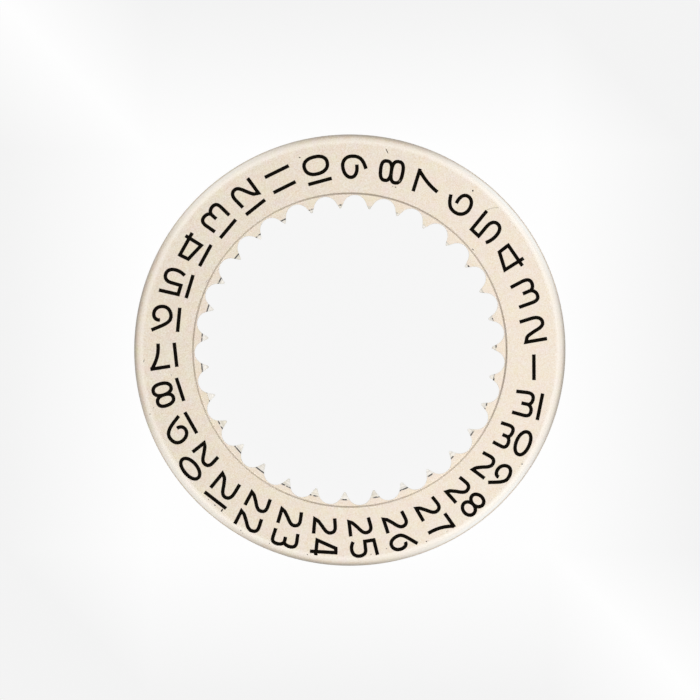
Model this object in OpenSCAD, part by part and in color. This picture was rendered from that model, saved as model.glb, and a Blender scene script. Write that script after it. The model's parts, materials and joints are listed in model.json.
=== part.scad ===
// Date disc of a calendar watch: a flat ring that lies under the dial and shows one
// number at a time in the dial's window.
// The ring is a turned and stamped brass blank with 31 teeth round its hole. Its face is
// lacquered cream, and the numbers 1 to 31 are printed on the lacquer in black.
// The underside lies on Z = 0 and the printed face looks up. +X runs through number 1.
// The numbers read outwards from the centre, and stand upright at three o'clock.

/* [Blank] */
// Diameter over the rim
outer_d = 24; // [21:0.1:30]
// Thickness of the metal under the numbers
band_t = 0.38; // [0.3:0.01:0.6]
// Thickness of the metal at the teeth
flange_t = 0.26; // [0.15:0.01:0.29]
// Width of the rounded shoulder along the rim
shoulder_w = 0.54; // [0.2:0.01:0.6]
// Height that the shoulder falls from the face to the rim
shoulder_drop = 0.2; // [0.1:0.01:0.24]
// Width of the level band that carries the numbers
band_w = 2.67; // [2.5:0.01:3.2]
// Run of the sloping step from the band down to the toothed flange
step_run = 0.11; // [0.05:0.01:0.3]
// Level strip between the foot of the step and the gaps of the teeth
land_w = 0.04; // [0.03:0.01:0.3]
// Chamfer along the rim's lower edge
edge_break = 0.03; // [0.01:0.01:0.05]

/* [Teeth] */
// Depth from the tips of the teeth to the bottom of the gaps
tooth_depth = 0.73; // [0.6:0.01:0.9]
// Angle between the two flanks of a tooth
tooth_angle = 56.6; // [50:0.1:64]
// Radius of the rounded tips of the teeth
tip_round = 0.07; // [0.03:0.01:0.1]

/* [Lacquer] */
// Thickness of the lacquer
lacquer_t = 0.02; // [0.01:0.005:0.04]
// Distance from the bottom of the gaps to the inner edge of the lacquer
mask_depth = 0.43; // [0.3:0.01:0.5]
// Offset of the mask and the print from the middle of the ring, along X
print_x = -0.05; // [-0.1:0.01:0.1]
// Offset of the mask and the print from the middle of the ring, along Y
print_y = -0.125; // [-0.15:0.005:0.15]

/* [Numbers] */
// Thickness of the ink
ink_t = 0.015; // [0.005:0.005:0.03]
// Width of the printed stroke
stroke_w = 0.2; // [0.12:0.005:0.22]
// Distance from the rim to the middle of the numbers
number_inset = 1.67; // [1.5:0.01:1.8]
// Height of the digits
digit_h = 1.49; // [1.2:0.01:1.55]
// Height of the digit 1
one_h = 1.43; // [1.2:0.01:1.55]
// Width of a digit that stands alone
single_w = 1.4; // [1.1:0.01:1.5]
// Width of a digit beside a 1
beside_one_w = 1.22; // [0.9:0.01:1.25]
// Width of a digit in any other pair
pair_w = 0.99; // [0.85:0.01:1.02]
// Gap between the two digits of such a pair
pair_gap = 0.18; // [0.12:0.01:0.24]
// Distance from the middle of a 1 to the digit beside it
one_gap = 0.34; // [0.3:0.01:0.4]
// Distance between the two strokes of number 11
ones_apart = 0.97; // [0.7:0.01:1.2]
// Lean of the digits away from their own radius
lean = 4.9; // [0:0.1:8]
// Turn of the print against the teeth
print_turn = 0.25; // [-1:0.05:1]
// Growth of the digits with the radius: at 1, their upper and lower edges are radial
fan = 0.8; // [0:0.1:1]

/* [Hidden] */
$fn = 120;
days = 31;

// Angle from one tooth, or number, to the next
pitch = 360 / days;
// Height by which a cutter stands out of what it cuts
cut = 1;

// Radii from the rim inwards
outer_r = outer_d / 2;
number_r = outer_r - number_inset;
shoulder_r = outer_r - shoulder_w;
step_top_r = shoulder_r - band_w;
step_foot_r = step_top_r - step_run;
root_r = step_foot_r - land_w;
mask_r = root_r - mask_depth;
tip_r = root_r - tooth_depth;

// Heights
wall_top = band_t - shoulder_drop;
face_z = band_t + lacquer_t;
cutter_h = band_t + 2 * cut;

// Distance of a flank from the middle of a round that it runs into, as a share of the
// round's radius. It is a little below 1, so that the two surfaces cross.
bite = 0.985;

// The flanks of a tooth would meet at its apex, and run into the round of the tip.
half_tooth = tooth_angle / 2;
tip_mid_r = tip_r + tip_round;
apex_r = tip_mid_r - bite * tip_round / sin(half_tooth);
tip_cut_r = tip_mid_r - bite * tip_round * sin(half_tooth);

// The bottom of a gap is one arc that touches the root circle and runs into both flanks.
flank = half_tooth - pitch / 2;
gap_r = (bite * root_r - apex_r * sin(half_tooth)) / (bite - sin(flank));
gap_arc_r = root_r - gap_r;

// The upper outline of the metal from the teeth out to the rim, lifted by a film
shoulder_steps = 12;
function face_line(lift) = concat(
    [
        [tip_cut_r, flange_t + lift],
        [step_foot_r, flange_t + lift],
        [step_top_r, band_t + lift]
    ],
    [
        for (i = [0:shoulder_steps])
            let (a = 90 * i / shoulder_steps)
            [shoulder_r + shoulder_w * sin(a), wall_top + shoulder_drop * cos(a) + lift]
    ]
);

function backwards(points) = [for (i = [len(points) - 1:-1:0]) points[i]];

// The gap between two teeth, along +X and cut right through. It opens into the hole
// just short of where it would meet the next gap.
module tooth_gap() {
    wall = [bite * gap_arc_r * sin(flank), bite * gap_arc_r * cos(flank)];
    mouth_x = (apex_r + tip_cut_r) / 2 * cos(pitch / 2) - gap_r;
    mouth = [mouth_x, wall.y + (wall.x - mouth_x) * tan(flank)];
    translate([gap_r, 0, -cut]) {
        cylinder(h = cutter_h, r = gap_arc_r);
        linear_extrude(cutter_h)
            polygon([wall, mouth, [mouth.x, -mouth.y], [wall.x, -wall.y]]);
    }
}

module tooth_gaps() {
    for (n = [1:days])
        rotate([0, 0, (n - 1) * pitch]) tooth_gap();
}

// The ring, with its rounded shoulder, its step and its toothed flange
module disc_blank() {
    color("#d8d4cb") {
        difference() {
            rotate_extrude()
                polygon(concat(
                    face_line(0),
                    [[outer_r, edge_break], [outer_r - edge_break, 0], [tip_cut_r, 0]]
                ));
            tooth_gaps();
        }
        for (n = [1:days])
            rotate([0, 0, (n - 0.5) * pitch])
                translate([tip_mid_r, 0, 0])
                    cylinder(h = flange_t, r = tip_round, $fn = 36);
    }
}

// The cream film on the shoulder, the band, the step and the roots of the teeth
module face_lacquer() {
    color("#efe3d0")
        difference() {
            rotate_extrude()
                polygon(concat(face_line(lacquer_t), backwards(face_line(0))));
            tooth_gaps();
            translate([print_x, print_y, -cut]) cylinder(h = cutter_h, r = mask_r);
        }
}

// Points along a curve from a to d that leaves towards b and arrives from c
curve_steps = 7;
function curve(a, b, c, d) = [
    for (i = [1:curve_steps])
        let (t = i / curve_steps, s = 1 - t)
        s * s * s * a + 3 * s * s * t * b + 3 * s * t * t * c + t * t * t * d
];

// A closed line about the point [0, y] that is fuller than an ellipse where full is below 1
loop_steps = 28;
function loop(y, w, h, full) = [
    for (i = [0:loop_steps - 1])
        let (a = 360 * i / loop_steps)
        [w * sign(cos(a)) * pow(abs(cos(a)), full), y + h * sign(sin(a)) * pow(abs(sin(a)), full)]
];

// Pen lines of each digit in a box from -0.5 to 0.5 both ways. A digit is set wide (0)
// where it stands alone, closer (0.5) beside a 1, and narrow (1) in any other pair.
function between(wide, narrow, set) = wide + (narrow - wide) * set;
function pen_0(set) = [loop(0, 0.5, 0.5, between(0.8, 0.95, set))];
function pen_1() = [[[0, 0.5], [0, -0.5]]];
function pen_2(set) =
    let (
        top = between(0.49, 0.465, set),
        waist = [0.04, between(-0.08, -0.12, set)]
    )
    [concat(
        [[-0.52, top - 0.03], [0, top]],
        curve([0, top], [0.3, top + 0.02], [0.48, 0.4], [0.48, 0.22]),
        curve(
            [0.48, 0.22],
            [0.48, between(0.02, 0.1, set)],
            [between(0.16, 0.3, set), between(-0.03, 0, set)],
            waist
        ),
        curve(
            waist,
            [between(-0.22, -0.18, set), between(-0.19, -0.25, set)],
            [between(-0.34, -0.28, set), between(-0.22, -0.3, set)],
            [between(-0.37, -0.33, set), -0.35]
        ),
        [[-0.43, -0.485], [between(0.53, 0.57, set), -0.475]]
    )];
function pen_3() = [
    concat(
        [[-0.5, 0.48], [0.1, 0.5]],
        curve([0.1, 0.5], [0.38, 0.5], [0.48, 0.4], [0.48, 0.26]),
        curve([0.48, 0.26], [0.48, 0.14], [0.42, 0.04], [0.3, 0])
    ),
    concat(
        [[-0.1, 0], [0.2, 0]],
        curve([0.2, 0], [0.4, 0], [0.5, -0.14], [0.5, -0.26]),
        curve([0.5, -0.26], [0.5, -0.42], [0.4, -0.5], [0.15, -0.5]),
        [[-0.51, -0.49]]
    )
];
function pen_4(set) = [
    [
        [0.58, -0.32],
        [between(-0.48, -0.46, set), -0.3],
        [set < 1 ? -0.2 : 0.04, 0.49],
        [0.33, 0.49]
    ],
    [[0.33, 0.56], [0.32, -0.56]]
];
function pen_5(set) = [concat(
    [
        [0.55, 0.5],
        [between(-0.5, -0.42, set), 0.48],
        [between(-0.5, -0.42, set), between(0.04, 0.09, set)],
        [0.05, 0.07]
    ],
    curve([0.05, 0.07], [0.3, 0.08], [0.46, -0.03], [0.46, -0.2]),
    curve([0.46, -0.2], [0.46, -0.42], [0.2, -0.5], [-0.05, -0.5]),
    curve([-0.05, -0.5], [-0.2, -0.5], [-0.35, -0.47], [-0.5, -0.4])
)];
function pen_6(set) =
    let (
        top = set > 0 ? [0.54, 0.52] : [0.14, 0.5],
        curl = set > 0 ? [0.11, 0.08] : [-0.09, 0.11]
    )
    [concat(
        [top],
        curve(
            top,
            [top.x - 0.4, between(0.4, 0.33, set)],
            [-0.5, between(0.28, 0.14, set)],
            [-0.5, -0.08]
        ),
        curve([-0.5, -0.08], [-0.5, -0.33], [-0.3, -0.5], [-0.03, -0.5]),
        curve([-0.03, -0.5], [0.27, -0.5], [0.5, -0.36], [0.5, -0.17]),
        curve([0.5, -0.17], [0.5, 0.02], [0.3, curl.y + 0.03], curl)
    )];
function pen_7(set) = [
    [[-0.58, 0.48], [0.58, 0.48]],
    concat(
        [[0.48, 0.48]],
        curve([0.48, 0.48], [0.27, 0.25], [0, 0], [set > 0 ? -0.02 : -0.21, -0.55])
    )
];
function pen_8(set) = [
    loop(0.245, set < 1 ? 0.45 : 0.49, 0.235, between(0.76, 1, set)),
    loop(-0.235, 0.5, 0.245, between(0.76, 1, set))
];
function pen_9(set) = [for (line = pen_6(set)) [for (p = line) -p]];

function pen(digit, set) =
    digit == 0 ? pen_0(set) :
    digit == 1 ? pen_1() :
    digit == 2 ? pen_2(set) :
    digit == 3 ? pen_3() :
    digit == 4 ? pen_4(set) :
    digit == 5 ? pen_5(set) :
    digit == 6 ? pen_6(set) :
    digit == 7 ? pen_7(set) :
    digit == 8 ? pen_8(set) : pen_9(set);

// Share of the common width that each digit takes, from 0 to 9: where it stands alone
// or beside a 1, and in any other pair
digit_share = [0.95, 0, 1.03, 1, 0.97, 1.05, 0.96, 0.95, 1, 0.98];
pair_share = [0.95, 0, 1.03, 1.02, 1.03, 1.08, 0.96, 1.02, 1, 0.96];

// The digits of a number, each as [digit, middle, width, set]
function digits(n) =
    let (tens = floor(n / 10), ones = n % 10)
    n == 1 ? [[1, 0, 0, 0]] :
    n < 10 ? [[ones, 0, single_w * digit_share[ones], 0]] :
    n == 11 ? [[1, -ones_apart / 2, 0, 0], [1, ones_apart / 2, 0, 0]] :
    tens == 1 ? beside_one(ones, 1) :
    ones == 1 ? beside_one(tens, -1) :
    let (
        left_w = pair_w * pair_share[tens],
        right_w = pair_w * pair_share[ones],
        half_span = (left_w + pair_gap + right_w) / 2
    )
    [
        [tens, left_w / 2 - half_span, left_w, 1],
        [ones, half_span - right_w / 2, right_w, 1]
    ];

// A digit and the 1 beside it, with the digit on the right (1) or the left (-1)
function beside_one(digit, side) =
    let (
        w = beside_one_w * digit_share[digit],
        half_span = (stroke_w / 2 + one_gap + w) / 2
    )
    [
        [1, side * (stroke_w / 2 - half_span), 0, 0],
        [digit, side * (half_span - w / 2), w, 0.5]
    ];

// A point of a number in the plane of the ring, leaned and fanned out along +X
function placed(p) =
    let (
        x = p.x * cos(lean) - p.y * sin(lean),
        y = p.x * sin(lean) + p.y * cos(lean)
    )
    [number_r + x, y * (1 + fan * x / number_r)];

// One edge of a stroke along a line, mitred where the line turns
function unit(v) = v / norm(v);
function left_of(v) = [-v.y, v.x];
function mitre(before, after) =
    let (n = left_of(before) + left_of(after))
    2 * n / (n * n);
function edge(line, off, closed) =
    let (last = len(line) - 1)
    [
        for (i = [0:last])
            let (
                a = closed ? (i + last) % (last + 1) : max(i - 1, 0),
                b = closed ? (i + 1) % (last + 1) : min(i + 1, last),
                before = unit(i == a ? line[b] - line[i] : line[i] - line[a]),
                after = unit(i == b ? line[i] - line[a] : line[b] - line[i])
            )
            line[i] + off * mitre(before, after)
    ];

module stroke(line) {
    polygon(concat(
        edge(line, stroke_w / 2, false),
        backwards(edge(line, -stroke_w / 2, false))
    ));
}

module ring_stroke(line) {
    difference() {
        polygon(edge(line, -stroke_w / 2, true));
        polygon(edge(line, stroke_w / 2, true));
    }
}

// One printed number, standing on the lacquer at its place round the ring
module numeral(n) {
    color("#14120f")
        translate([print_x, print_y, face_z])
            rotate([0, 0, print_turn + (n - 1) * pitch])
                for (d = digits(n)) {
                    w = d[2] - stroke_w;
                    h = d[0] == 1 ? one_h : digit_h - stroke_w;
                    for (line = pen(d[0], d[3]))
                        linear_extrude(ink_t)
                            if (d[0] == 0 || d[0] == 8)
                                ring_stroke([for (p = line) placed([d[1] + w * p.x, h * p.y])]);
                            else
                                stroke([for (p = line) placed([d[1] + w * p.x, h * p.y])]);
                }
}

function numeral_name(n) = str("numeral_", n < 10 ? "0" : "", n);

disc_blank();
face_lacquer();
for (n = [1:days])
    numeral(n);
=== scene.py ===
"""Date disc of a calendar watch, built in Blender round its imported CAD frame.

A toothed ring blank of plated brass, its cream lacquer, its printed numbers and the dirt
on it each come from an operator of their own, and lie on a plain sheet of white card.
"""

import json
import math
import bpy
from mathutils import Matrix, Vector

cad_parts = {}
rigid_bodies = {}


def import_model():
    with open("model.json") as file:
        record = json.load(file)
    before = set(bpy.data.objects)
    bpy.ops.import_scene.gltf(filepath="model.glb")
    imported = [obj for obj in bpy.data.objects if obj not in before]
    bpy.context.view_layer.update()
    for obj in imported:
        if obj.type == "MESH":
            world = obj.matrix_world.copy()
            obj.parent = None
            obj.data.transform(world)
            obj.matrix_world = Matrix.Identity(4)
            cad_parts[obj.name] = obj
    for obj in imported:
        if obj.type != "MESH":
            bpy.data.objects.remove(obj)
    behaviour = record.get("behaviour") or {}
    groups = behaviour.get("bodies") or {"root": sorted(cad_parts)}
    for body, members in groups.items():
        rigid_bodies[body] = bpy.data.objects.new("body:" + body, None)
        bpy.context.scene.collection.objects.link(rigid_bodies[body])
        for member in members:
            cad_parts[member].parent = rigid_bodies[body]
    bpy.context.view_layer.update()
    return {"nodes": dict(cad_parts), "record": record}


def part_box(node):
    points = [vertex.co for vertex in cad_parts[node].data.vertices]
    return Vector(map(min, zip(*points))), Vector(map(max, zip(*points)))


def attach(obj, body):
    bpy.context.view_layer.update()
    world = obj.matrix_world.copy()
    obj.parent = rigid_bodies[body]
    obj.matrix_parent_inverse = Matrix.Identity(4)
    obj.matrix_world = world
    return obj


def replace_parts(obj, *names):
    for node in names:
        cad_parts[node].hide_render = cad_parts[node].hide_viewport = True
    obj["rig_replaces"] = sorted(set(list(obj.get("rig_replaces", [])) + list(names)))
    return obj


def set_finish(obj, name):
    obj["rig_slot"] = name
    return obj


bl_info = {
    "name": "Watch date disc",
    "version": (1, 0, 0),
    "blender": (4, 5, 0),
    "location": "View3D > Sidebar > Date disc",
    "description": "Builds a lacquered and printed date disc round its packed frame",
    "category": "Add Mesh",
}

import bmesh
import bpy
from bpy.props import FloatProperty, FloatVectorProperty, IntProperty, PointerProperty
from mathutils import Matrix, Vector

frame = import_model()

# The rim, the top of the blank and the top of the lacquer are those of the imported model.
rim_mount = next(m for m in frame["record"]["mounts"] if m["name"] == "outer_rim")
blank_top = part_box("disc_blank")[1][2]
lacquer_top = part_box("face_lacquer")[1][2]

# The pieces are worked at a thousand times their size, in millimetres, because
# Blender's editing tools round off below a thousandth of a millimetre.
BENCH = 1000.0
MM = 0.001

# Distances on the bench: within SAME, two places are one, and a place that lies no more
# than SLACK past a line still counts as inside it.
SAME = 1e-4
SLACK = 0.005

# The bend from face to face, up to which a piece is shaded smooth
SMOOTH_ANGLE = math.radians(35)

# The picture shows the ring turned clockwise by this much.
PICTURE_TURN = math.radians(4.87)

# Flecks of dirt on the lacquer, the last of them a hair: X, Y, length and width in
# millimetres, and turn in degrees
FLECKS = (
    (1.12, 11.20, 0.324, 0.048, -59),
    (-6.33, -9.48, 0.205, 0.092, 60),
    (6.06, 9.41, 0.107, 0.092, 97),
    (-11.36, -1.57, 0.187, 0.033, 83),
    (-6.74, -9.23, 0.093, 0.070, 140),
    (-3.69, 10.43, 0.107, 0.061, -8),
    (10.08, -5.50, 0.086, 0.068, 28),
    (1.76, 9.24, 0.093, 0.058, -13),
    (1.60, 9.28, 0.064, 0.038, 15),
    (5.15, -10.24, 0.086, 0.065, 36),
    (-5.19, -10.51, 0.064, 0.058, 95),
    (-5.07, -10.65, 0.057, 0.038, -45),
    (-9.78, -2.22, 0.137, 0.023, 115),
    (-1.39, -11.53, 0.057, 0.061, 45),
    (-3.54, -11.09, 0.057, 0.058, 95),
    (2.97, -10.82, 0.054, 0.058, 75),
    (-10.77, -4.49, 0.061, 0.054, 60),
    (-7.13, -8.95, 0.072, 0.040, 140),
    (6.24, -9.60, 0.043, 0.049, 5),
    (-10.61, -4.13, 0.043, 0.049, 85),
    (2.14, -11.21, 0.072, 0.043, 27),
    (-10.00, 0.94, 0.051, 0.038, 35),
    (6.34, 6.16, 0.150, 0.048, -35),
    (-8.26, 3.14, 0.306, 0.012, 65),
)

# Places along the thin fibre that lies on the lacquer, X and Y in millimetres
FIBRE = (
    (6.92, 8.41),
    (7.05, 8.475),
    (7.185, 8.53),
    (7.32, 8.565),
    (7.45, 8.585),
    (7.58, 8.61),
)


def linear(hex_colour):
    """Turn an sRGB hex colour into Blender's linear red, green, blue and alpha."""
    parts = [int(hex_colour[i : i + 2], 16) / 255 for i in (1, 3, 5)]
    return tuple(
        [p / 12.92 if p <= 0.04045 else ((p + 0.055) / 1.055) ** 2.4 for p in parts] + [1.0]
    )


def length(name, description, millimetres):
    """A length property in Blender's metres, with its default given in millimetres."""
    return FloatProperty(
        name=name, description=description, default=millimetres * MM, precision=5, unit="LENGTH"
    )


def colour(name, description, hex_colour):
    """A colour property with its default given as an sRGB hex value."""
    return FloatVectorProperty(
        name=name,
        description=description,
        default=linear(hex_colour),
        size=4,
        min=0,
        max=1,
        subtype="COLOR",
    )


def amount(name, description, value):
    """A plain number property."""
    return FloatProperty(name=name, description=description, default=value)


class DateDiscBlank(bpy.types.PropertyGroup):
    """Sizes and colours of the toothed brass ring"""

    rim_radius: length("Rim radius", "Radius over the rim", rim_mount["dims"]["r_mm"])
    band_height: length("Band height", "Height of the metal under the numbers", blank_top / MM)
    flange_height: length("Flange height", "Height of the metal at the teeth", 0.26)
    shoulder_width: length("Shoulder width", "Width of the rounded shoulder", 0.54)
    shoulder_drop: length("Shoulder drop", "Fall of the shoulder to the rim", 0.2)
    step_top: length("Step top", "Radius at which the band starts", 8.8)
    step_foot: length("Step foot", "Radius at which the flange ends", 8.655)
    edge_break: length("Edge break", "Chamfer along the rim's lower edge", 0.03)
    root_radius: length("Root radius", "Radius at the bottom of the gaps", 8.64)
    tip_radius: length("Tip radius", "Radius at the tips of the teeth", 7.91)
    tip_round: length("Tip round", "Radius of the rounded tips", 0.068)
    stamped_edge: length("Stamped edge", "Softening of the edges of the teeth", 0.012)
    tooth_angle: FloatProperty(
        name="Tooth angle",
        description="Angle between the two flanks of a tooth",
        default=math.radians(56.6),
        subtype="ANGLE",
    )
    teeth: IntProperty(name="Teeth", description="Number of teeth, one for each day", default=31)
    plating: colour("Plating", "Colour of the plated brass", "#C1BEB9")
    tarnish: colour("Tarnish", "Colour of the plating where it has tarnished", "#B6B1A6")


class DateDiscLacquer(bpy.types.PropertyGroup):
    """Sizes and colours of the lacquer on the face"""

    film: length("Film", "Thickness of the lacquer", (lacquer_top - blank_top) / MM)
    mask_radius: length("Mask radius", "Radius at which the mask ended the lacquer", 8.21)
    mask_x: length("Mask X", "Offset of the mask and the print along X", -0.05)
    mask_y: length("Mask Y", "Offset of the mask and the print along Y", -0.125)
    cream: colour("Cream", "Colour of the lacquer", "#E8D9C6")
    # Painted shade: the lacquer's colour on the left, where less light falls
    painted_shade_left: colour("Shaded", "Colour to which the lacquer has aged on the left", "#DACCB8")
    # Painted highlight: the colour over the shoulder where the lamps reflect
    pale: colour("Pale", "Colour of the thin film over the shoulder", "#FFFEF9")
    # Painted shade: the colour of the shade on the rounded rim
    dark: colour("Dark", "Colour of the handled rim", "#575654")
    # Painted shade: the colour of the shade in the corner of the step
    shade: colour("Shade", "Colour of the dirt in the step", "#6F5F50")
    grime: colour("Grime", "Colour of the dirt along the lacquer's edge", "#15110D")
    mottle: amount("Mottle", "Strength of the soft clouds", 0.14)
    grain: amount("Grain", "Strength of the fine grain", 0.6)


class DateDiscPrint(bpy.types.PropertyGroup):
    """Colours of the printed numbers"""

    ink: colour("Ink", "Colour of the printing ink", "#0D0A06")
    worn: colour("Worn", "Colour of the ink where it is rubbed thin", "#77705F")


class DateDiscDirt(bpy.types.PropertyGroup):
    """Sizes and colour of the flecks and the fibre on the lacquer"""

    fleck_height: length("Fleck height", "Height of the flecks over the lacquer", 0.004)
    fleck_root: length("Fleck root", "Depth to which the flecks are sunk in", 0.002)
    fibre_width: length("Fibre width", "Width of the fibre", 0.012)
    brown: colour("Brown", "Colour of the dirt", "#1E1510")


class DateDiscStage(bpy.types.PropertyGroup):
    """The card that the ring lies on, the lamps and the camera"""

    card: colour("Card", "Colour of the card", "#E8E8E8")
    card_size: length("Card size", "Width and depth of the card", 4000)
    card_thickness: length("Card thickness", "Thickness of the card", 1)
    card_gap: length("Card gap", "Air between the card and the ring", 0.01)
    lamp_height: length("Lamp height", "Height of the lamps over the card", 420)
    lamp_reach: length("Lamp reach", "Distance from the middle to the frame's outer edges", 143)
    lamp_hole: length("Lamp hole", "Distance from the middle to the frame's inner edges", 84)
    side_power: amount("Side power", "Watts of each side lamp", 0.25)
    corner_place: length("Corner place", "Sideways distance to each corner lamp", 128)
    corner_size: length("Corner size", "Width of each square corner lamp", 100)
    corner_power: amount("Corner power", "Watts of each corner lamp", 0.2)
    camera_distance: length("Camera distance", "Height of the camera over the rim", 300)
    camera_x: length("Camera X", "Place of the camera along X", 0.009)
    camera_y: length("Camera Y", "Place of the camera along Y", 0.006)
    picture_width: length("Picture width", "Width that the picture takes in at the rim", 38.95)


def select_only(*pieces):
    """Deselect everything but these pieces and make the last one active."""
    bpy.ops.object.select_all(action="DESELECT")
    for piece in pieces:
        piece.select_set(True)
        bpy.context.view_layer.objects.active = piece


def pick(piece, kind, keep):
    """In edit mode, select only the vertices, edges or faces that pass a test."""
    bpy.ops.mesh.select_mode(type=kind)
    bpy.ops.mesh.select_all(action="DESELECT")
    mesh = bmesh.from_edit_mesh(piece.data)
    found = 0
    for part in {"VERT": mesh.verts, "EDGE": mesh.edges, "FACE": mesh.faces}[kind]:
        if keep(part):
            part.select_set(True)
            found += 1
    bmesh.update_edit_mesh(piece.data)
    if not found:
        raise RuntimeError("nothing to select on " + piece.name)


def near(value, target):
    """True where two measures on the bench are the same."""
    return abs(value - target) < SAME


def polar(vertex):
    """Distance of a vertex from the middle of the ring."""
    return math.hypot(vertex.co.x, vertex.co.y)


def keep_east_point(piece, centre, radius):
    """In edit mode, leave only the +X point of a circle of four points and select it."""
    wanted = Vector((centre + radius, 0, 0))
    others = [
        wanted + Vector((-radius, radius, 0)),
        wanted + Vector((-radius, -radius, 0)),
        wanted + Vector((-2 * radius, 0, 0)),
    ]
    pick(piece, "VERT", lambda v: any((v.co - p).length < SAME for p in others))
    bpy.ops.mesh.delete(type="VERT")
    pick(piece, "VERT", lambda v: (v.co - wanted).length < SAME)


def spin_chain(steps, angle, centre):
    """Spin the selected vertex about an upright axis, a positive angle counter-clockwise."""
    bpy.ops.mesh.spin(steps=steps, angle=angle, center=centre, axis=(0, 0, -1))


def extrude(move):
    """Extrude what is selected and move it."""
    bpy.ops.mesh.extrude_region_move(TRANSFORM_OT_translate={"value": move})


def extrude_ring(start, line):
    """Extrude the selected arc along a line of radii and heights."""
    radius, height = start
    for next_radius, next_height in line:
        extrude((0, 0, next_height - height))
        share = next_radius / radius
        bpy.ops.transform.resize(value=(share, share, 1), center_override=(0, 0, 0))
        radius, height = next_radius, next_height


def soft_step(start, end, steps):
    """Points of a smooth rise from one radius and height to another."""
    points = []
    for i in range(1, steps + 1):
        share = i / steps
        rise = share * share * (3 - 2 * share)
        radius = start[0] + (end[0] - start[0]) * share
        height = start[1] + (end[1] - start[1]) * rise
        points.append((radius, height))
    return points


def face_outwards():
    """In edit mode, select all and turn every face outwards."""
    bpy.ops.mesh.select_all(action="SELECT")
    bpy.ops.mesh.normals_make_consistent(inside=False)


def finish_piece(piece, name):
    """Bring a piece from the bench to its real size, name it and let it ride on the ring."""
    select_only(piece)
    piece.scale = (1 / BENCH, 1 / BENCH, 1 / BENCH)
    bpy.ops.object.transform_apply(location=True, rotation=True, scale=True)
    bpy.ops.object.shade_smooth_by_angle(angle=SMOOTH_ANGLE)
    piece.name = name
    piece.data.name = name
    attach(piece, "root")


def bench_copy(piece, name):
    """A copy of a finished piece, with its own mesh, at the size of the bench."""
    select_only(piece)
    bpy.ops.object.duplicate()
    twin = bpy.context.object
    twin.name = name
    bpy.ops.object.parent_clear(type="CLEAR_KEEP_TRANSFORM")
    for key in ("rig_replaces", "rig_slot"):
        if key in twin:
            del twin[key]
    twin.scale = (BENCH, BENCH, BENCH)
    bpy.ops.object.transform_apply(location=True, rotation=True, scale=True)
    twin.data.materials.clear()
    return twin


def wire(tree, node, inputs):
    """Fill or link the inputs of a node."""
    for socket, value in inputs.items():
        if isinstance(value, bpy.types.NodeSocket):
            tree.links.new(value, node.inputs[socket])
        else:
            node.inputs[socket].default_value = value


def add(tree, kind, inputs, output=0, stops=(), **settings):
    """Add a node with its settings and links, and return one of its outputs.

    Stops are those of a colour ramp, each a position and a grey level.
    """
    node = tree.nodes.new("ShaderNode" + kind)
    for name, value in settings.items():
        setattr(node, name, value)
    wire(tree, node, inputs)
    if stops:
        node.color_ramp.interpolation = "EASE"
        while len(node.color_ramp.elements) < len(stops):
            node.color_ramp.elements.new(0.5)
        for element, (position, grey) in zip(node.color_ramp.elements, stops):
            element.position = position
            element.color = (grey, grey, grey, 1)
    return node.outputs[output]


def new_material(name):
    """A material with its node tree, its principled shader and its place in millimetres."""
    material = bpy.data.materials.new(name)
    material.use_nodes = True
    tree = material.node_tree
    place = add(tree, "TexCoord", {}, output="Object")
    in_mm = add(tree, "Mapping", {"Vector": place, "Scale": (BENCH, BENCH, BENCH)})
    return material, tree, tree.nodes["Principled BSDF"], in_mm


def from_centre(tree, in_mm, x=0, y=0):
    """A place seen from above, as its offset in millimetres from a centre."""
    apart = add(tree, "VectorMath", {0: in_mm, 1: (x, y, 0)}, operation="SUBTRACT")
    return add(tree, "VectorMath", {0: apart, 1: (1, 1, 0)}, operation="MULTIPLY")


def distance_and_turn(tree, flat):
    """Distance of an offset seen from above, and its turn from 0 to 1.

    The turn runs from 0 at -X, over -Y, +X and +Y, and back to -X.
    """
    away = add(tree, "VectorMath", {0: flat}, output="Value", operation="LENGTH")
    parts = add(tree, "SeparateXYZ", {0: flat}).node.outputs
    angle = add(tree, "Math", {0: parts["Y"], 1: parts["X"]}, operation="ARCTAN2")
    turn = add(tree, "Math", {0: angle, 1: 1 / (2 * math.pi), 2: 0.5}, operation="MULTIPLY_ADD")
    return away, turn


def swell(tree, turn, even, four, side, towards):
    """A strength that swells four times round the ring and once more towards one side.

    Four is how much it swells at +X, +Y, -X and -Y, and side how much towards an angle in
    degrees, which is 0 at +X and grows counter-clockwise.
    """
    angle = add(tree, "Math", {0: turn, 1: 2 * math.pi, 2: -math.pi}, operation="MULTIPLY_ADD")
    fourfold = add(tree, "Math", {0: angle, 1: 4.0}, operation="MULTIPLY")
    quarters = add(tree, "Math", {0: fourfold}, operation="COSINE")
    from_side = add(tree, "Math", {0: angle, 1: math.radians(towards)}, operation="SUBTRACT")
    once = add(tree, "Math", {0: from_side}, operation="COSINE")
    both = add(tree, "Math", {0: quarters, 1: four, 2: even}, operation="MULTIPLY_ADD")
    inputs = {0: once, 1: side, 2: both}
    return add(tree, "Math", inputs, operation="MULTIPLY_ADD", use_clamp=True)


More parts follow.
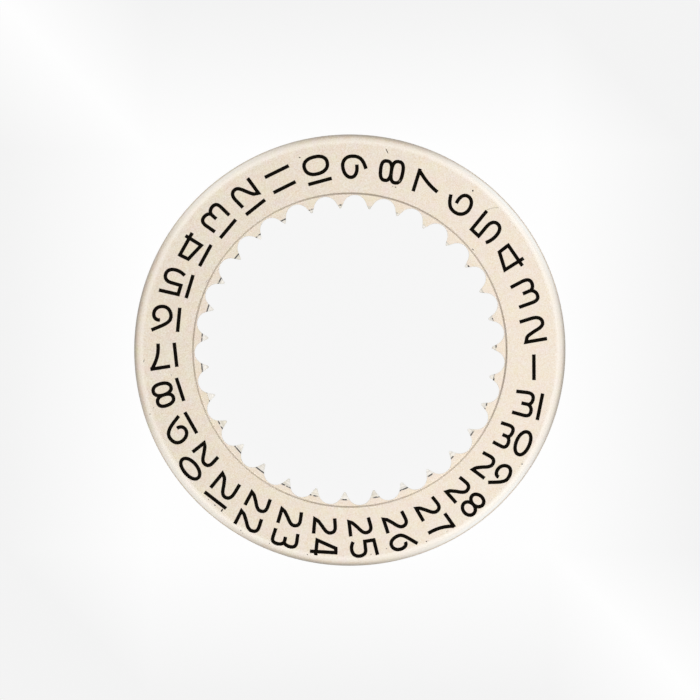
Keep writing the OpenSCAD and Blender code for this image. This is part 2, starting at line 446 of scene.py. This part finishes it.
def edge_grime(tree, in_mm, context):
    """Strength of the broken dark line of dirt along the lacquer's inner edge."""
    lacquer = context.scene.date_disc_lacquer
    flat = from_centre(tree, in_mm, lacquer.mask_x * BENCH, lacquer.mask_y * BENCH)
    away, turn = distance_and_turn(tree, flat)
    edge = lacquer.mask_radius * BENCH
    beside = add(tree, "Math", {0: away, 1: edge}, operation="SUBTRACT")
    off = add(tree, "Math", {0: beside}, operation="ABSOLUTE")
    # The line is full up to 0.031 mm off the edge and ends at 0.043 mm. The distance is
    # stretched for the ramp, which has only 256 steps.
    stretch, full, end = 10.0, 0.031, 0.043
    stretched = add(tree, "Math", {0: off, 1: stretch}, operation="MULTIPLY")
    stops = ((full * stretch, 1.0), (end * stretch, 0.0))
    line = add(tree, "ValToRGB", {0: stretched}, stops=stops)
    # Cover round the ring: most at the upper left, least at the upper right
    stops = (
        (0.0, 0.75),
        (0.09, 0.5),
        (0.16, 0.85),
        (0.25, 0.5),
        (0.35, 0.75),
        (0.5, 0.5),
        (0.62, 0.3),
        (0.72, 0.55),
        (0.8, 0.55),
        (0.85, 0.85),
        (0.92, 1.0),
        (1.0, 0.75),
    )
    cover = add(tree, "ValToRGB", {0: turn}, stops=stops)
    # Dashes about 0.3 mm long lie where the noise rises over a bar, which cover lowers.
    bar, lowering, contrast = 0.66, 0.36, 14.0
    noise = add(tree, "TexNoise", {"Vector": flat, "Scale": 3.6, "Detail": 1.0})
    lowered = add(tree, "Math", {0: cover, 1: lowering, 2: -bar}, operation="MULTIPLY_ADD")
    over = add(tree, "Math", {0: noise, 1: lowered}, operation="ADD")
    dashes = add(tree, "Math", {0: over, 1: contrast}, operation="MULTIPLY", use_clamp=True)
    dirt = add(tree, "Math", {0: line, 1: dashes}, operation="MULTIPLY")
    # The dirt lies on the face and fades out at the top of the walls of the teeth.
    fade_end, fade_start = 0.04, 0.01
    top = context.scene.date_disc_blank.flange_height * BENCH
    height = add(tree, "SeparateXYZ", {0: in_mm}, output="Z")
    inputs = {"Value": height, "From Min": top - fade_end, "From Max": top - fade_start}
    on_face = add(tree, "MapRange", inputs)
    return add(tree, "Math", {0: dirt, 1: on_face}, operation="MULTIPLY")


def seen_directly(tree):
    """One for rays of the camera and of shiny and clear surfaces, and zero for all others."""
    rays = add(tree, "LightPath", {}).node.outputs
    inputs = {0: rays["Is Camera Ray"], 1: rays["Is Glossy Ray"]}
    either = add(tree, "Math", inputs, operation="MAXIMUM")
    inputs = {0: either, 1: rays["Is Transmission Ray"]}
    return add(tree, "Math", inputs, operation="MAXIMUM")


class DISC_OT_ring_blank(bpy.types.Operator):
    """Model the toothed brass ring: one half tooth, mirrored and spun round"""

    bl_idname = "date_disc.ring_blank"
    bl_label = "Ring blank"

    def execute(self, context):
        blank = context.scene.date_disc_blank
        pitch = 2 * math.pi / blank.teeth
        piece = self.outlines(context, blank, pitch)
        self.surfaces(piece, blank)
        self.all_round(piece, blank, pitch)
        self.soften_teeth(piece, blank)
        bpy.ops.object.mode_set(mode="OBJECT")
        finish_piece(piece, "ring_blank")
        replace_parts(piece, "disc_blank")
        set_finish(piece, "plated_brass")
        piece.data.materials.append(self.nickel_plated_brass(context))
        return {"FINISHED"}

    def outlines(self, context, blank, pitch):
        """Draw the arc at the foot of the step and the outline of half a tooth."""
        half_tooth = blank.tooth_angle / 2
        flank = half_tooth - pitch / 2
        flange = blank.flange_height * BENCH
        foot = blank.step_foot * BENCH
        root = blank.root_radius * BENCH
        tip_round = blank.tip_round * BENCH
        tip_mid = blank.tip_radius * BENCH + tip_round
        apex = tip_mid - tip_round / math.sin(half_tooth)
        gap_mid = (root - apex * math.sin(half_tooth)) / (1 - math.sin(flank))
        gap_arc = root - gap_mid
        arc_steps, flank_steps, tip_steps = 12, 3, 5

        # The foot of the step, from the middle of a gap to that of a tooth
        bpy.ops.object.select_all(action="DESELECT")
        bpy.ops.mesh.primitive_circle_add(vertices=4, radius=foot, location=(0, 0, 0))
        piece = context.object
        bpy.ops.object.mode_set(mode="EDIT")
        keep_east_point(piece, 0, foot)
        bpy.ops.transform.translate(value=(0, 0, flange))
        spin_chain(arc_steps + flank_steps + tip_steps, pitch / 2, (0, 0, flange))

        # The bottom of the gap, the flank and the tip, drawn at the underside
        bpy.ops.mesh.select_all(action="DESELECT")
        bpy.ops.mesh.primitive_circle_add(vertices=4, radius=gap_arc, location=(gap_mid, 0, 0))
        keep_east_point(piece, gap_mid, gap_arc)
        spin_chain(arc_steps, math.pi / 2 - flank, (gap_mid, 0, 0))
        into_tooth = Vector((math.sin(flank), math.cos(flank), 0))
        flank_start = Vector((gap_mid, 0, 0)) + gap_arc * into_tooth
        tip_centre = Vector((tip_mid * math.cos(pitch / 2), tip_mid * math.sin(pitch / 2), 0))
        flank_end = tip_centre - tip_round * into_tooth
        for _ in range(flank_steps):
            extrude((flank_end - flank_start) / flank_steps)
        spin_chain(tip_steps, -(math.pi / 2 - half_tooth), tip_centre)
        return piece

    def surfaces(self, piece, blank):
        """Raise the tooth's wall and close the ring from the flange over the rim and below."""
        flange = blank.flange_height * BENCH
        foot = blank.step_foot * BENCH
        pick(piece, "EDGE", lambda e: all(near(v.co.z, 0) for v in e.verts))
        extrude((0, 0, flange))

        def on_flange_line(edge):
            flat = all(near(v.co.z, flange) for v in edge.verts)
            return flat and len(edge.link_faces) < 2

        pick(piece, "EDGE", on_flange_line)
        bpy.ops.mesh.bridge_edge_loops()
        pick(piece, "EDGE", lambda e: all(near(polar(v), foot) for v in e.verts))
        extrude_ring((foot, flange), self.profile(blank))

        def on_underside_line(edge):
            flat = all(near(v.co.z, 0) for v in edge.verts)
            across = all(near(v.co.y, 0) for v in edge.verts)
            inside = all(polar(v) < foot + SLACK for v in edge.verts)
            return flat and inside and not across and len(edge.link_faces) < 2

        pick(piece, "EDGE", on_underside_line)
        bpy.ops.mesh.bridge_edge_loops()
        bpy.ops.object.mode_set(mode="OBJECT")

    def profile(self, blank):
        """Radii and heights of the step, the band, the shoulder, the rim and the underside."""
        flange, band = blank.flange_height * BENCH, blank.band_height * BENCH
        foot, step_top = blank.step_foot * BENCH, blank.step_top * BENCH
        width, drop = blank.shoulder_width * BENCH, blank.shoulder_drop * BENCH
        rim = blank.rim_radius * BENCH
        chamfer = blank.edge_break * BENCH
        step_loops, shoulder_loops = 8, 16
        # A loop this far beside each bend keeps the level faces level under smooth shading.
        hold = 0.02
        line = [(foot + hold, flange)]
        line += soft_step((foot + hold, flange), (step_top - hold, band), step_loops)
        line += [(step_top, band), (rim - width - hold, band)]
        for i in range(shoulder_loops + 1):
            a = math.pi / 2 * i / shoulder_loops
            line.append((rim - width + width * math.sin(a), band - drop + drop * math.cos(a)))
        return line + [(rim, chamfer), (rim - chamfer, 0), (foot, 0)]

    def all_round(self, piece, blank, pitch):
        """Mirror the half tooth and its stretch of ring, and spin them round."""
        weld = 0.001
        mirror = piece.modifiers.new("Other half", "MIRROR")
        mirror.use_axis = (False, True, False)
        mirror.merge_threshold = weld / 2
        bpy.ops.object.modifier_apply(modifier=mirror.name)

        bpy.ops.object.mode_set(mode="EDIT")
        bpy.ops.mesh.select_all(action="SELECT")
        bpy.ops.mesh.spin(
            steps=blank.teeth - 1,
            angle=2 * math.pi - pitch,
            dupli=True,
            center=(0, 0, 0),
            axis=(0, 0, 1),
        )
        bpy.ops.mesh.select_all(action="SELECT")
        bpy.ops.mesh.remove_doubles(threshold=weld)
        face_outwards()

    def soften_teeth(self, piece, blank):
        """Soften the outline of the teeth a little above and below, as stamping does."""
        root = blank.root_radius * BENCH
        least_bend = math.radians(60)

        def on_outline(edge):
            inside = all(polar(v) < root + SLACK for v in edge.verts)
            sharp = len(edge.link_faces) == 2 and edge.calc_face_angle() > least_bend
            return inside and sharp

        pick(piece, "EDGE", on_outline)
        bpy.ops.mesh.bevel(
            offset=blank.stamped_edge * BENCH, segments=2, affect="EDGES", clamp_overlap=False
        )

    def nickel_plated_brass(self, context):
        """Turned and stamped brass under thin nickel, pale and silky with fine turning marks."""
        blank = context.scene.date_disc_blank
        grime_colour = tuple(context.scene.date_disc_lacquer.grime)
        material, tree, shader, in_mm = new_material("nickel_plated_brass_turned")
        # Turning marks, long drawn out round the ring. Real ones would be too fine to show,
        # so they are about 0.09 mm apart.
        marks_per_mm, marks_round = 11.0, 14.0
        away, turn = distance_and_turn(tree, from_centre(tree, in_mm))
        across = add(tree, "Math", {0: away, 1: marks_per_mm}, operation="MULTIPLY")
        along = add(tree, "Math", {0: turn, 1: marks_round}, operation="MULTIPLY")
        rings = add(tree, "CombineXYZ", {"X": across, "Y": along})
        marks = add(tree, "TexNoise", {"Vector": rings, "Scale": 1.0, "Detail": 3.0})
        # Clouds of tarnish about 0.8 mm across
        cloud = add(tree, "TexNoise", {"Vector": in_mm, "Scale": 1.3, "Detail": 3.0})
        share = add(tree, "ValToRGB", {0: cloud}, stops=((0.35, 0.0), (0.75, 1.0)))
        inputs = {"Factor": share, "A": tuple(blank.plating), "B": tuple(blank.tarnish)}
        tone = add(tree, "Mix", inputs, output="Result", data_type="RGBA")
        # Dirt along the lacquer's edge, which is no metal
        grime = edge_grime(tree, in_mm, context)
        inputs = {"Factor": grime, "A": tone, "B": grime_colour}
        tone = add(tree, "Mix", inputs, output="Result", data_type="RGBA")
        clean = add(tree, "Math", {0: 1.0, 1: grime}, operation="SUBTRACT", use_clamp=True)
        rough = add(tree, "ValToRGB", {0: marks}, stops=((0.3, 0.62), (0.7, 0.78)))
        bump = add(tree, "Bump", {"Height": marks, "Strength": 0.25, "Distance": 0.000004})
        wire(
            tree,
            shader,
            {"Base Color": tone, "Metallic": clean, "Roughness": rough, "Normal": bump},
        )
        return material


class DISC_OT_lacquer_coat(bpy.types.Operator):
    """Coat the ring's face with lacquer, and end it where a mask covered the teeth"""

    bl_idname = "date_disc.lacquer_coat"
    bl_label = "Lacquer coat"

    def execute(self, context):
        ring = bpy.data.objects.get("ring_blank")
        if ring is None:
            raise RuntimeError("the ring blank comes first")
        lacquer = context.scene.date_disc_lacquer
        least_rise = 0.05
        piece = bench_copy(ring, "coat")
        bpy.ops.object.mode_set(mode="EDIT")
        pick(piece, "FACE", lambda f: f.normal.z < least_rise)
        bpy.ops.mesh.delete(type="FACE")
        bpy.ops.mesh.select_all(action="SELECT")
        extrude((0, 0, lacquer.film * BENCH))
        face_outwards()
        bpy.ops.object.mode_set(mode="OBJECT")

        # The mask that kept the tips of the teeth bare lay a little off the middle.
        corners_per_tooth, mask_depth = 24, 2
        bpy.ops.object.select_all(action="DESELECT")
        bpy.ops.mesh.primitive_cylinder_add(
            vertices=context.scene.date_disc_blank.teeth * corners_per_tooth,
            radius=lacquer.mask_radius * BENCH,
            depth=mask_depth,
            location=(lacquer.mask_x * BENCH, lacquer.mask_y * BENCH, 0),
        )
        mask = context.object
        select_only(piece)
        cut = piece.modifiers.new("Mask", "BOOLEAN")
        cut.operation = "DIFFERENCE"
        cut.solver = "EXACT"
        cut.object = mask
        bpy.ops.object.modifier_apply(modifier=cut.name)
        bpy.data.objects.remove(mask)
        finish_piece(piece, "lacquer_coat")
        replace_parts(piece, "face_lacquer")
        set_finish(piece, "cream_lacquer")
        piece.data.materials.append(self.cream_lacquer(context))
        return {"FINISHED"}

    def painted_light_rings(self, lacquer):
        """The rings of painted highlight and painted shade, from the step out to the rim.

        Each has a radius that it starts from, in millimetres, its zone as ramp stops over
        the distance past that radius, its strength round the ring as for swell, and its
        colour.
        """
        pale, dark = tuple(lacquer.pale), tuple(lacquer.dark)
        by_step, by_rim = 8.0, 11.0
        return (
            # Painted shade in the corner of the step, swelling round the ring
            (
                by_step,
                ((0.63, 0), (0.68, 1), (0.73, 1), (0.79, 0)),
                (0.21, 0.2, 0.16, 36),
                tuple(lacquer.shade),
            ),
            # Painted highlight, paler over the shoulder
            (
                by_rim,
                ((0.4, 0), (0.57, 1), (0.74, 1), (0.82, 0)),
                (0.2, 0.0, 0.05, -20),
                pale,
            ),
            # Painted highlight, nearly white, lower down the shoulder, on the diagonals and most
            # on the right
            (
                by_rim,
                ((0.48, 0), (0.7, 0.35), (0.85, 1), (0.92, 1), (0.955, 0)),
                (0.35, -0.45, 0.3, 0),
                pale,
            ),
            # Painted shade on the rounded rim, between the diagonals
            (by_rim, ((0.78, 0), (0.97, 1)), (0.2, 0.29, -0.02, 80), dark),
            # Painted shade in a thin line along the corner of the rim, mostly on the left
            (by_rim, ((0.945, 0), (0.975, 1)), (0.07, 0.0, -0.09, -20), dark),
        )

    def cream_lacquer(self, context):
        """Sprayed satin lacquer, cream with soft clouds and a fine grain, with painted shade and
        painted highlight in rings and painted shade on the left.
        """
        lacquer = context.scene.date_disc_lacquer
        material, tree, shader, in_mm = new_material("cream_satin_lacquer_sprayed")
        # Painted shade: the lacquer goes from cream on the right to a little darker on the left,
        # where less light falls.
        rightwards = (0.98, -0.2, 0.0)
        diameter = 2 * context.scene.date_disc_blank.rim_radius * BENCH
        inputs = {0: in_mm, 1: rightwards}
        across = add(tree, "VectorMath", inputs, output="Value", operation="DOT_PRODUCT")
        painted_shade_left = add(tree, "Math", {0: across, 1: -1 / diameter, 2: 0.5}, operation="MULTIPLY_ADD")
        share = add(tree, "ValToRGB", {0: painted_shade_left}, stops=((0.0, 0.0), (1.0, 1.0)))
        inputs = {"Factor": share, "A": tuple(lacquer.cream), "B": tuple(lacquer.painted_shade_left)}
        tone = add(tree, "Mix", inputs, output="Result", data_type="RGBA")
        # Soft clouds about 0.6 mm across drift a little between pink, green and yellow.
        inputs = {"Vector": in_mm, "Scale": 1.6, "Detail": 2.0}
        clouds = add(tree, "TexNoise", inputs, output="Color")
        # Grain of the spray. A real one would be too fine to show, so it is about 0.05 mm
        # across.
        grain = add(tree, "TexNoise", {"Vector": in_mm, "Scale": 18.6, "Detail": 1.0})
        for strength, texture in ((lacquer.mottle, clouds), (lacquer.grain, grain)):
            tone = add(
                tree,
                "Mix",
                {"Factor": strength, "A": tone, "B": texture},
                output="Result",
                data_type="RGBA",
                blend_type="OVERLAY",
            )

        away, turn = distance_and_turn(tree, from_centre(tree, in_mm))
        # Rings of painted highlight and painted shade, laid over the tone one after another
        for start, stops, around, painted_tone in self.painted_light_rings(lacquer):
            from_start = add(tree, "Math", {0: away, 1: start}, operation="SUBTRACT")
            zone = add(tree, "ValToRGB", {0: from_start}, stops=stops)
            strength = swell(tree, turn, *around)
            share = add(tree, "Math", {0: zone, 1: strength}, operation="MULTIPLY")
            inputs = {"Factor": share, "A": tone, "B": painted_tone}
            tone = add(tree, "Mix", inputs, output="Result", data_type="RGBA")
        grime = edge_grime(tree, in_mm, context)
        inputs = {"Factor": grime, "A": tone, "B": tuple(lacquer.grime)}
        tone = add(tree, "Mix", inputs, output="Result", data_type="RGBA")
        rough = add(tree, "ValToRGB", {0: grain}, stops=((0.3, 0.34), (0.7, 0.42)))
        bump = add(tree, "Bump", {"Height": grain, "Strength": 0.2, "Distance": 0.000004})
        wire(
            tree,
            shader,
            {
                "Base Color": tone,
                "Roughness": rough,
                "IOR": 1.5,
                "Coat Weight": 0.5,
                "Coat Roughness": 0.3,
                "Normal": bump,
            },
        )
        return material


class DISC_OT_printed_numbers(bpy.types.Operator):
    """Give the 31 printed numbers of the frame their ink"""

    bl_idname = "date_disc.printed_numbers"
    bl_label = "Printed numbers"

    def execute(self, context):
        ink = self.matt_black_ink(context)
        numbers = [node for name, node in frame["nodes"].items() if name.startswith("numeral_")]
        if len(numbers) != context.scene.date_disc_blank.teeth:
            raise RuntimeError("the frame has not one number for each tooth")
        for number in numbers:
            for place in number.material_slots:
                place.material = ink
            if not number.material_slots:
                number.data.materials.append(ink)
        return {"FINISHED"}

    def matt_black_ink(self, context):
        """Pad-printed matt ink, near black, with a fine grain where it lies thin."""
        colours = context.scene.date_disc_print
        material, tree, shader, in_mm = new_material("black_pad_printing_ink")
        # Grain of the print, drawn about 0.1 mm across, because a finer one wouldn't show
        grain = add(tree, "TexNoise", {"Vector": in_mm, "Scale": 9.0, "Detail": 3.0})
        inputs = {"Factor": 0.5, "A": tuple(colours.ink), "B": grain}
        tone = add(
            tree, "Mix", inputs, output="Result", data_type="RGBA", blend_type="SOFT_LIGHT"
        )
        # A spot on number 8 is rubbed thin. It fades from 0.03 to 0.08 mm from its middle.
        worn_spot = (1.949, 9.611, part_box("numeral_08")[1][2] * BENCH)
        inputs = {0: in_mm, 1: worn_spot}
        away = add(tree, "VectorMath", inputs, output="Value", operation="DISTANCE")
        rubbed = add(tree, "ValToRGB", {0: away}, stops=((0.03, 0.8), (0.08, 0.0)))
        inputs = {"Factor": rubbed, "A": tone, "B": tuple(colours.worn)}
        tone = add(tree, "Mix", inputs, output="Result", data_type="RGBA")
        rough = add(tree, "ValToRGB", {0: grain}, stops=((0.3, 0.6), (0.7, 0.75)))
        wire(
            tree,
            shader,
            {"Base Color": tone, "Roughness": rough, "IOR": 1.45, "Specular IOR Level": 0.02},
        )
        return material


class DISC_OT_dirt_marks(bpy.types.Operator):
    """Lay the flecks of dirt and the thin fibre on the lacquer"""

    bl_idname = "date_disc.dirt_marks"
    bl_label = "Dirt marks"

    def execute(self, context):
        if bpy.data.objects.get("lacquer_coat") is None:
            raise RuntimeError("the lacquer coat comes first")
        marks = [self.fleck(context, number, *mark) for number, mark in enumerate(FLECKS)]
        marks.append(self.fibre(context))
        select_only(*marks)
        bpy.ops.object.join()
        piece = context.object
        bpy.ops.object.transform_apply(location=True, rotation=True, scale=True)
        finish_piece(piece, "dirt_marks")
        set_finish(piece, "black_ink")
        piece.data.materials.append(self.brown_dirt(context))
        return {"FINISHED"}

    def face_at(self, context, radius):
        """Height of the lacquer at a radius on the band or the shoulder, and its fall there."""
        blank = context.scene.date_disc_blank
        top = (blank.band_height + context.scene.date_disc_lacquer.film) * BENCH
        width = blank.shoulder_width * BENCH
        drop = blank.shoulder_drop * BENCH
        share = max(0, (radius - blank.rim_radius * BENCH + width) / width)
        left = math.sqrt(1 - share**2)
        return top - drop * (1 - left), math.atan(drop / width * share / left)

    def fleck(self, context, number, x, y, long, wide, turn):
        """A flat fleck of six to eight corners, which leans with the face that it lies on"""
        dirt = context.scene.date_disc_dirt
        height = dirt.fleck_height * BENCH
        root = dirt.fleck_root * BENCH
        corners = 6 + number % 3
        bpy.ops.object.select_all(action="DESELECT")
        bpy.ops.mesh.primitive_circle_add(
            vertices=corners, radius=0.5, fill_type="NGON", location=(0, 0, 0)
        )
        fleck = context.object
        bpy.ops.object.mode_set(mode="EDIT")
        bpy.ops.mesh.select_all(action="SELECT")
        bpy.ops.transform.resize(value=(long, wide, 1), center_override=(0, 0, 0))
        bpy.ops.transform.translate(value=(0, 0, -root))
        extrude((0, 0, root + height))
        face_outwards()
        bpy.ops.object.mode_set(mode="OBJECT")
        face_z, fall = self.face_at(context, math.hypot(x, y))
        around = Matrix.Rotation(math.atan2(y, x), 3, "Z")
        lean = Matrix.Rotation(fall, 3, "Y")
        own = Matrix.Rotation(math.radians(turn) - math.atan2(y, x), 3, "Z")
        fleck.rotation_euler = (around @ lean @ own).to_euler()
        fleck.location = (x, y, face_z)
        return fleck

    def fibre(self, context):
        """A thin six-sided fibre along its places, which lies on the level band"""
        width = context.scene.date_disc_dirt.fibre_width * BENCH
        face_z = self.face_at(context, math.hypot(*FIBRE[0]))[0]
        places = [Vector((x, y, face_z + width / 2)) for x, y in FIBRE]
        heading = places[1] - places[0]
        bpy.ops.object.select_all(action="DESELECT")
        bpy.ops.mesh.primitive_circle_add(
            vertices=6,
            radius=width / 2,
            fill_type="NGON",
            location=(0, 0, 0),
            rotation=heading.to_track_quat("Z", "X").to_euler(),
        )
        thread = context.object
        thread.location = places[0]
        bpy.ops.object.transform_apply(location=True, rotation=True, scale=True)
        bpy.ops.object.mode_set(mode="EDIT")
        bpy.ops.mesh.select_all(action="SELECT")
        for start, end in zip(places, places[1:]):
            extrude(end - start)
        face_outwards()
        bpy.ops.object.mode_set(mode="OBJECT")
        return thread

    def brown_dirt(self, context):
        """Dry brown dirt and lint, dull, with painted shade in its hollows."""
        material, tree, shader, in_mm = new_material("brown_dry_dirt")
        # Clots about 0.05 mm across
        clots = add(tree, "TexNoise", {"Vector": in_mm, "Scale": 20.0, "Detail": 2.0})
        brown = tuple(context.scene.date_disc_dirt.brown)
        inputs = {"Factor": 0.6, "A": brown, "B": clots}
        tone = add(
            tree, "Mix", inputs, output="Result", data_type="RGBA", blend_type="SOFT_LIGHT"
        )
        bump = add(tree, "Bump", {"Height": clots, "Strength": 0.4, "Distance": 0.000003})
        wire(tree, shader, {"Base Color": tone, "Roughness": 0.9, "Normal": bump})
        return material


class DISC_OT_stage(bpy.types.Operator):
    """Lay a plain sheet of card under the ring, and set up the soft lamps and the camera"""

    bl_idname = "date_disc.stage"
    bl_label = "Stage"

    def execute(self, context):
        stage = context.scene.date_disc_stage
        self.card_sheet(context, stage)
        self.lamps(context, stage)
        self.sky(context)
        self.camera(context, stage)
        context.scene.view_settings.view_transform = "Standard"
        return {"FINISHED"}

    def card_sheet(self, context, stage):
        """The card under the ring"""
        bpy.ops.object.select_all(action="DESELECT")
        bpy.ops.mesh.primitive_plane_add(size=stage.card_size, location=(0, 0, 0))
        sheet = context.object
        sheet.name = "card_sheet"
        bpy.ops.object.mode_set(mode="EDIT")
        bpy.ops.mesh.select_all(action="SELECT")
        extrude((0, 0, -stage.card_thickness))
        face_outwards()
        bpy.ops.transform.translate(value=(0, 0, -stage.card_gap))
        bpy.ops.object.mode_set(mode="OBJECT")
        sheet.data.materials.append(self.white_card(stage))

    def white_card(self, stage):
        """Matt card that looks white, and greyer inside the ring and by the picture's edges,
        where a falloff of light is painted.
        """
        material, tree, shader, in_mm = new_material("white_card")
        turned = add(tree, "Mapping", {"Vector": in_mm, "Rotation": (0, 0, -PICTURE_TURN)})
        flat = from_centre(tree, turned)
        away = add(tree, "VectorMath", {0: flat}, output="Value", operation="LENGTH")
        # Inside the ring the white is a little dimmer. The change lies under the ring.
        dim_start, dim_end, dimmed = 11.6, 10.0, 0.925
        inputs = {"Value": away, "From Min": dim_end, "From Max": dim_start, "To Min": dimmed}
        inner = add(tree, "MapRange", inputs, interpolation_type="SMOOTHSTEP")
        # Past a square round the ring, the white fades to a pale grey by the picture's edges, as
        # a painted falloff of the light. The falloff goes by X and Y added up, so it leaves out
        # the upper left corner and the lower right one.
        square, fade_run, faded = 11.13, 8.07, 0.905
        parts = add(tree, "SeparateXYZ", {0: turned}).node.outputs
        beyond = []
        for axis in ("X", "Y"):
            within = add(tree, "Clamp", {"Value": parts[axis], "Min": -square, "Max": square})
            beyond.append(add(tree, "Math", {0: parts[axis], 1: within}, operation="SUBTRACT"))
        total = add(tree, "Math", {0: beyond[0], 1: beyond[1]}, operation="ADD")
        out = add(tree, "Math", {0: total}, operation="ABSOLUTE")
        inputs = {"Value": out, "From Max": fade_run, "To Min": 1.0, "To Max": faded}
        painted_falloff = add(tree, "MapRange", inputs)
        grey = add(tree, "Math", {0: inner, 1: painted_falloff}, operation="MULTIPLY")
        white = add(tree, "Emission", {"Color": grey, "Strength": 1.0})
        # Seen directly, the card is nearly all this white, and for other rays it is plain.
        white_share = 0.96
        seen = seen_directly(tree)
        share = add(tree, "Math", {0: seen, 1: white_share}, operation="MULTIPLY")
        wire(tree, shader, {"Base Color": tuple(stage.card), "Roughness": 0.9})
        both = add(tree, "MixShader", {0: share, 1: shader.outputs[0], 2: white})
        wire(tree, tree.nodes["Material Output"], {"Surface": both})
        return material

    def lamps(self, context, stage):
        """A square frame of soft lamps round the camera's line of sight, with corner lamps"""
        wide, long = stage.lamp_reach - stage.lamp_hole, stage.lamp_reach + stage.lamp_hole
        corner, square = stage.corner_place, stage.corner_size
        for kind, x, y, size, power in (
            ("side", long / 2, wide / 2, (wide, long), stage.side_power),
            ("corner", corner, corner, (square, square), stage.corner_power),
        ):
            for quarter, place in enumerate(("right", "top", "left", "bottom")):
                turn = Matrix.Rotation(quarter * math.pi / 2 + PICTURE_TURN, 3, "Z")
                middle = turn @ Vector((x, y, stage.lamp_height))
                bpy.ops.object.light_add(type="AREA", location=middle, rotation=turn.to_euler())
                lamp = context.object
                lamp.name = "lamp_" + kind + "_" + place
                lamp.data.shape = "RECTANGLE"
                lamp.data.size, lamp.data.size_y = size
                lamp.data.energy = power
                lamp.visible_camera = False

    def sky(self, context):
        """A dim even world, seen as white by the camera and by anything shiny"""
        dim = 0.15
        world = bpy.data.worlds.new("plain_room")
        context.scene.world = world
        world.use_nodes = True
        tree = world.node_tree
        inputs = {0: seen_directly(tree), 1: 1 - dim, 2: dim}
        strength = add(tree, "Math", inputs, operation="MULTIPLY_ADD")
        wire(tree, tree.nodes["Background"], {"Color": (1, 1, 1, 1), "Strength": strength})

    def camera(self, context, stage):
        """The camera, straight above the ring and turned as the picture is"""
        blank = context.scene.date_disc_blank
        film = context.scene.date_disc_lacquer.film
        rim_z = blank.band_height - blank.shoulder_drop + film
        sensor = 36
        bpy.ops.object.camera_add(
            location=(stage.camera_x, stage.camera_y, stage.camera_distance + rim_z),
            rotation=(0, 0, PICTURE_TURN),
        )
        camera = context.object
        camera.name = "picture_camera"
        camera.data.sensor_width = sensor
        camera.data.lens = sensor * stage.camera_distance / stage.picture_width
        camera.data.clip_start = 0.01
        context.scene.camera = camera


class DISC_PT_sidebar(bpy.types.Panel):
    """Operators and sizes of the date disc"""

    bl_label = "Date disc"
    bl_idname = "DISC_PT_sidebar"
    bl_space_type = "VIEW_3D"
    bl_region_type = "UI"
    bl_category = "Date disc"

    def draw(self, context):
        for step in STEPS:
            self.layout.operator(step.bl_idname)
        for name in GROUPS:
            group = getattr(context.scene, name)
            box = self.layout.box()
            box.label(text=name.replace("_", " ").capitalize())
            for key in group.bl_rna.properties.keys():
                if key not in ("rna_type", "name"):
                    box.prop(group, key)


STEPS = (
    DISC_OT_ring_blank,
    DISC_OT_lacquer_coat,
    DISC_OT_printed_numbers,
    DISC_OT_dirt_marks,
    DISC_OT_stage,
)
GROUPS = {
    "date_disc_blank": DateDiscBlank,
    "date_disc_lacquer": DateDiscLacquer,
    "date_disc_print": DateDiscPrint,
    "date_disc_dirt": DateDiscDirt,
    "date_disc_stage": DateDiscStage,
}


def register():
    for name, group in GROUPS.items():
        bpy.utils.register_class(group)
        setattr(bpy.types.Scene, name, PointerProperty(type=group))
    for part in STEPS + (DISC_PT_sidebar,):
        bpy.utils.register_class(part)


def unregister():
    for part in (DISC_PT_sidebar,) + STEPS[::-1]:
        bpy.utils.unregister_class(part)
    for name, group in GROUPS.items():
        delattr(bpy.types.Scene, name)
        bpy.utils.unregister_class(group)


def main():
    """Build the disc and its stage in order."""
    register()
    bpy.ops.date_disc.ring_blank()
    bpy.ops.date_disc.lacquer_coat()
    bpy.ops.date_disc.printed_numbers()
    bpy.ops.date_disc.dirt_marks()
    bpy.ops.date_disc.stage()


if __name__ == "__main__":
    main()
